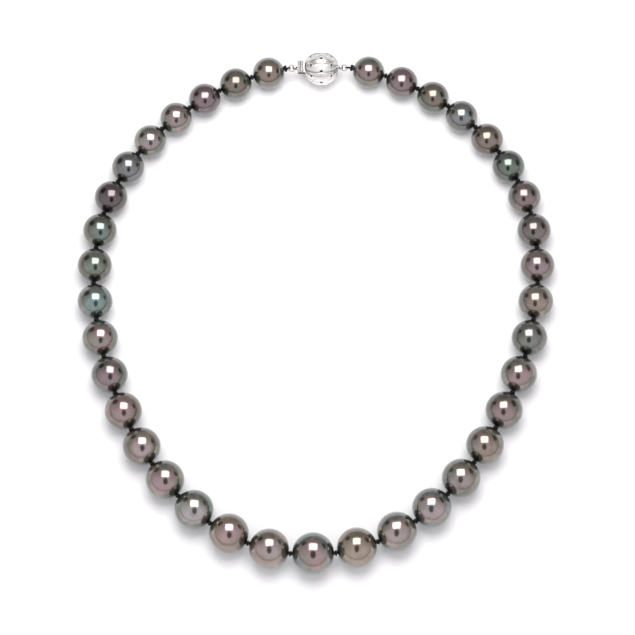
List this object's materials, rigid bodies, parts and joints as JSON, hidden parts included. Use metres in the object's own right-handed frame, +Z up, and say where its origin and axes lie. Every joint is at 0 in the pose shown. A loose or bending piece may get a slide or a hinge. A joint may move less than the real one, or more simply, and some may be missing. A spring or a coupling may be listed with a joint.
{
  "type": "pearl necklace",
  "caption": "Graduated dark pearl necklace, knotted on silk, with a pierced white metal ball clasp and sprung tongue.",
  "frame": {"origin": "on the table, under the middle of the laid out necklace", "axes": "+Z up from the table; +Y from the front pearl towards the clasp; +X to the right"},
  "size_m": [0.141, 0.1614, 0.0121],
  "materials": {
    "pearl_grey": "nacre, grey overtone",
    "pearl_green": "nacre, green overtone",
    "pearl_aubergine": "nacre, aubergine overtone",
    "pearl_blue": "nacre, blue overtone",
    "pearl_bronze": "nacre, bronze overtone",
    "black_silk": "twisted silk",
    "white_gold": "polished, pierced and engraved"
  },
  "bodies": {
    "pearl_front": {"pearl_front": "pearl_aubergine", "silk_thread": "black_silk"},
    "pearl_left_01": {"pearl_left_01": "pearl_grey"},
    "pearl_left_02": {"pearl_left_02": "pearl_aubergine"},
    "pearl_left_03": {"pearl_left_03": "pearl_green"},
    "pearl_left_04": {"pearl_left_04": "pearl_grey"},
    "pearl_left_05": {"pearl_left_05": "pearl_green"},
    "pearl_left_06": {"pearl_left_06": "pearl_bronze"},
    "pearl_left_07": {"pearl_left_07": "pearl_blue"},
    "pearl_left_08": {"pearl_left_08": "pearl_green"},
    "pearl_left_09": {"pearl_left_09": "pearl_aubergine"},
    "pearl_left_10": {"pearl_left_10": "pearl_grey"},
    "pearl_left_11": {"pearl_left_11": "pearl_blue"},
    "pearl_left_12": {"pearl_left_12": "pearl_green"},
    "pearl_left_13": {"pearl_left_13": "pearl_bronze"},
    "pearl_left_14": {"pearl_left_14": "pearl_grey"},
    "pearl_left_15": {"pearl_left_15": "pearl_green"},
    "pearl_left_16": {"pearl_left_16": "pearl_blue"},
    "pearl_left_17": {"pearl_left_17": "pearl_aubergine"},
    "pearl_left_18": {"pearl_left_18": "pearl_grey"},
    "pearl_right_01": {"pearl_right_01": "pearl_green"},
    "pearl_right_02": {"pearl_right_02": "pearl_aubergine"},
    "pearl_right_03": {"pearl_right_03": "pearl_grey"},
    "pearl_right_04": {"pearl_right_04": "pearl_blue"},
    "pearl_right_05": {"pearl_right_05": "pearl_green"},
    "pearl_right_06": {"pearl_right_06": "pearl_bronze"},
    "pearl_right_07": {"pearl_right_07": "pearl_aubergine"},
    "pearl_right_08": {"pearl_right_08": "pearl_green"},
    "pearl_right_09": {"pearl_right_09": "pearl_grey"},
    "pearl_right_10": {"pearl_right_10": "pearl_blue"},
    "pearl_right_11": {"pearl_right_11": "pearl_bronze"},
    "pearl_right_12": {"pearl_right_12": "pearl_green"},
    "pearl_right_13": {"pearl_right_13": "pearl_aubergine"},
    "pearl_right_14": {"pearl_right_14": "pearl_grey"},
    "pearl_right_15": {"pearl_right_15": "pearl_blue"},
    "pearl_right_16": {"pearl_right_16": "pearl_green"},
    "pearl_right_17": {"pearl_right_17": "pearl_bronze"},
    "pearl_right_18": {"pearl_right_18": "pearl_grey"},
    "clasp_ring_right": {"clasp_ring_right": "white_gold"},
    "clasp_ball": {"clasp_ball": "white_gold", "clasp_box": "white_gold", "clasp_eye": "white_gold"},
    "clasp_tongue": {"clasp_tongue": "white_gold"},
    "clasp_spring": {"clasp_spring_leaf": "white_gold", "clasp_thumb_tab": "white_gold"},
    "clasp_ring_left": {"clasp_ring_left": "white_gold"}
  },
  "joints": [
    {"name": "clasp_pull", "type": "slide", "parent": "clasp_ball", "child": "clasp_tongue", "axis": [-0.9999, -0.0116, 0], "range_m": [0, 0.008]},
    {"name": "thumb_press", "type": "hinge", "parent": "clasp_tongue", "child": "clasp_spring", "pos_m": [0.0028, 0.0755, 0.00565], "axis": [0.0116, -0.9999, 0], "range_deg": [0, 5], "stiffness_Nm_per_rad": 0.02, "springref_deg": -5.73},
    {"name": "ring_left", "type": "hinge", "parent": "clasp_tongue", "child": "clasp_ring_left", "pos_m": [-0.00645, 0.07539, 0.0052], "axis": [-0.0116, 0.9999, 0], "range_deg": [-30, 30]},
    {"name": "ring_right", "type": "hinge", "parent": "clasp_ring_right", "child": "clasp_ball", "pos_m": [0.00745, 0.07555, 0.0052], "axis": [-0.0116, 0.9999, 0], "range_deg": [-20, 20]},
    {"name": "end_knot_right", "type": "hinge", "parent": "pearl_right_18", "child": "clasp_ring_right", "pos_m": [0.01075, 0.07559, 0.005], "axis": [0, 0, 1], "range_deg": [-25, 25]},
    {"name": "knot_left_01", "type": "hinge", "parent": "pearl_front", "child": "pearl_left_01", "pos_m": [-0.00738, -0.07472, 0.00592], "axis": [0, 0, 1], "range_deg": [0, 3.05], "deforming": ["silk_thread"]},
    {"name": "knot_left_02", "type": "hinge", "parent": "pearl_left_01", "child": "pearl_left_02", "pos_m": [-0.01954, -0.07168, 0.00578], "axis": [0.3626, 0.932, 0], "range_deg": [-35, 35], "deforming": ["silk_thread"]},
    {"name": "knot_left_03", "type": "hinge", "parent": "pearl_left_02", "child": "pearl_left_03", "pos_m": [-0.0305, -0.06573, 0.00574], "axis": [0, 0, -1], "range_deg": [-40, 0], "deforming": ["silk_thread"]},
    {"name": "knot_left_04", "type": "hinge", "parent": "pearl_left_03", "child": "pearl_left_04", "pos_m": [-0.03983, -0.05758, 0.00568], "axis": [-0.7214, -0.6925, 0], "range_deg": [-35, 35], "deforming": ["silk_thread"]},
    {"name": "knot_left_05", "type": "hinge", "parent": "pearl_left_04", "child": "pearl_left_05", "pos_m": [-0.0475, -0.04803, 0.00562], "axis": [0, 0, 1], "range_deg": [0, 40], "deforming": ["silk_thread"]},
    {"name": "knot_left_06", "type": "hinge", "parent": "pearl_left_05", "child": "pearl_left_06", "pos_m": [-0.05369, -0.03762, 0.00553], "axis": [0.8877, 0.4605, 0], "range_deg": [-35, 35], "deforming": ["silk_thread"]},
    {"name": "knot_left_07", "type": "hinge", "parent": "pearl_left_06", "child": "pearl_left_07", "pos_m": [-0.05855, -0.02672, 0.00544], "axis": [0, 0, -1], "range_deg": [-40, 0], "deforming": ["silk_thread"]},
    {"name": "knot_left_08", "type": "hinge", "parent": "pearl_left_07", "child": "pearl_left_08", "pos_m": [-0.06218, -0.01555, 0.00535], "axis": [-0.9659, -0.259, 0], "range_deg": [-35, 35], "deforming": ["silk_thread"]},
    {"name": "knot_left_09", "type": "hinge", "parent": "pearl_left_08", "child": "pearl_left_09", "pos_m": [-0.06457, -0.00426, 0.00525], "axis": [0, 0, 1], "range_deg": [0, 40], "deforming": ["silk_thread"]},
    {"name": "knot_left_10", "type": "hinge", "parent": "pearl_left_09", "child": "pearl_left_10", "pos_m": [-0.06565, 0.00705, 0.00516], "axis": [0.9996, 0.0294, 0], "range_deg": [-35, 35], "deforming": ["silk_thread"]},
    {"name": "knot_left_11", "type": "hinge", "parent": "pearl_left_10", "child": "pearl_left_11", "pos_m": [-0.06523, 0.01821, 0.00507], "axis": [0, 0, -1], "range_deg": [-40, 0], "deforming": ["silk_thread"]},
    {"name": "knot_left_12", "type": "hinge", "parent": "pearl_left_11", "child": "pearl_left_12", "pos_m": [-0.06308, 0.02899, 0.00498], "axis": [-0.9588, 0.2841, 0], "range_deg": [-35, 35], "deforming": ["silk_thread"]},
    {"name": "knot_left_13", "type": "hinge", "parent": "pearl_left_12", "child": "pearl_left_13", "pos_m": [-0.05906, 0.03906, 0.00492], "axis": [0, 0, 1], "range_deg": [0, 40], "deforming": ["silk_thread"]},
    {"name": "knot_left_14", "type": "hinge", "parent": "pearl_left_13", "child": "pearl_left_14", "pos_m": [-0.05329, 0.04809, 0.00486], "axis": [0.7954, -0.6061, 0], "range_deg": [-35, 35], "deforming": ["silk_thread"]},
    {"name": "knot_left_15", "type": "hinge", "parent": "pearl_left_14", "child": "pearl_left_15", "pos_m": [-0.04616, 0.05597, 0.00482], "axis": [0, 0, -1], "range_deg": [-40, 0], "deforming": ["silk_thread"]},
    {"name": "knot_left_16", "type": "hinge", "parent": "pearl_left_15", "child": "pearl_left_16", "pos_m": [-0.03802, 0.06271, 0.0048], "axis": [-0.5846, 0.8113, 0], "range_deg": [-35, 35], "deforming": ["silk_thread"]},
    {"name": "knot_left_17", "type": "hinge", "parent": "pearl_left_16", "child": "pearl_left_17", "pos_m": [-0.02907, 0.06829, 0.0048], "axis": [0, 0, 1], "range_deg": [0, 40], "deforming": ["silk_thread"]},
    {"name": "knot_left_18", "type": "hinge", "parent": "pearl_left_17", "child": "pearl_left_18", "pos_m": [-0.01943, 0.07259, 0.0048], "axis": [0.3357, -0.942, 0], "range_deg": [-35, 35], "deforming": ["silk_thread"]},
    {"name": "knot_right_01", "type": "hinge", "parent": "pearl_front", "child": "pearl_right_01", "pos_m": [0.00567, -0.07454, 0.00592], "axis": [0, 0, -1], "range_deg": [0, 40], "deforming": ["silk_thread"]},
    {"name": "knot_right_02", "type": "hinge", "parent": "pearl_right_01", "child": "pearl_right_02", "pos_m": [0.01775, -0.07121, 0.00578], "axis": [0.3777, -0.9259, 0], "range_deg": [-35, 35], "deforming": ["silk_thread"]},
    {"name": "knot_right_03", "type": "hinge", "parent": "pearl_right_02", "child": "pearl_right_03", "pos_m": [0.02865, -0.06516, 0.00574], "axis": [0, 0, 1], "range_deg": [-40, 0], "deforming": ["silk_thread"]},
    {"name": "knot_right_04", "type": "hinge", "parent": "pearl_right_03", "child": "pearl_right_04", "pos_m": [0.03801, -0.05704, 0.00568], "axis": [-0.7159, 0.6982, 0], "range_deg": [-35, 35], "deforming": ["silk_thread"]},
    {"name": "knot_right_05", "type": "hinge", "parent": "pearl_right_04", "child": "pearl_right_05", "pos_m": [0.0458, -0.04758, 0.00562], "axis": [0, 0, -1], "range_deg": [0, 40], "deforming": ["silk_thread"]},
    {"name": "knot_right_06", "type": "hinge", "parent": "pearl_right_05", "child": "pearl_right_06", "pos_m": [0.05217, -0.03729, 0.00553], "axis": [0.8781, -0.4784, 0], "range_deg": [-35, 35], "deforming": ["silk_thread"]},
    {"name": "knot_right_07", "type": "hinge", "parent": "pearl_right_06", "child": "pearl_right_07", "pos_m": [0.05728, -0.02651, 0.00544], "axis": [0, 0, 1], "range_deg": [-40, 0], "deforming": ["silk_thread"]},
    {"name": "knot_right_08", "type": "hinge", "parent": "pearl_right_07", "child": "pearl_right_08", "pos_m": [0.0612, -0.01543, 0.00535], "axis": [-0.9581, 0.2864, 0], "range_deg": [-35, 35], "deforming": ["silk_thread"]},
    {"name": "knot_right_09", "type": "hinge", "parent": "pearl_right_08", "child": "pearl_right_09", "pos_m": [0.06394, -0.00421, 0.00525], "axis": [0, 0, -1], "range_deg": [0, 40], "deforming": ["silk_thread"]},
    {"name": "knot_right_10", "type": "hinge", "parent": "pearl_right_09", "child": "pearl_right_10", "pos_m": [0.06542, 0.00704, 0.00516], "axis": [0.9977, -0.0678, 0], "range_deg": [-35, 35], "deforming": ["silk_thread"]},
    {"name": "knot_right_11", "type": "hinge", "parent": "pearl_right_10", "child": "pearl_right_11", "pos_m": [0.06546, 0.01821, 0.00507], "axis": [0, 0, 1], "range_deg": [-40, 0], "deforming": ["silk_thread"]},
    {"name": "knot_right_12", "type": "hinge", "parent": "pearl_right_11", "child": "pearl_right_12", "pos_m": [0.0638, 0.02908, 0.00498], "axis": [-0.9704, -0.2415, 0], "range_deg": [-35, 35], "deforming": ["silk_thread"]},
    {"name": "knot_right_13", "type": "hinge", "parent": "pearl_right_12", "child": "pearl_right_13", "pos_m": [0.06021, 0.03931, 0.00492], "axis": [0, 0, -1], "range_deg": [0, 40], "deforming": ["silk_thread"]},
    {"name": "knot_right_14", "type": "hinge", "parent": "pearl_right_13", "child": "pearl_right_14", "pos_m": [0.05475, 0.04853, 0.00486], "axis": [0.8104, 0.5858, 0], "range_deg": [-35, 35], "deforming": ["silk_thread"]},
    {"name": "knot_right_15", "type": "hinge", "parent": "pearl_right_14", "child": "pearl_right_15", "pos_m": [0.04776, 0.05654, 0.00482], "axis": [0, 0, 1], "range_deg": [-40, 0], "deforming": ["silk_thread"]},
    {"name": "knot_right_16", "type": "hinge", "parent": "pearl_right_15", "child": "pearl_right_16", "pos_m": [0.03965, 0.06331, 0.0048], "axis": [-0.5846, -0.8113, 0], "range_deg": [-35, 35], "deforming": ["silk_thread"]},
    {"name": "knot_right_17", "type": "hinge", "parent": "pearl_right_16", "child": "pearl_right_17", "pos_m": [0.03067, 0.06885, 0.0048], "axis": [0, 0, -1], "range_deg": [0, 40], "deforming": ["silk_thread"]},
    {"name": "knot_right_18", "type": "hinge", "parent": "pearl_right_17", "child": "pearl_right_18", "pos_m": [0.02098, 0.07302, 0.0048], "axis": [0.3203, 0.9473, 0], "range_deg": [-35, 35], "deforming": ["silk_thread"]}
  ],
  "couplings": [
    {"joint": "clasp_pull", "follows": "knot_left_01", "m_per_rad": 0.1501}
  ]
}
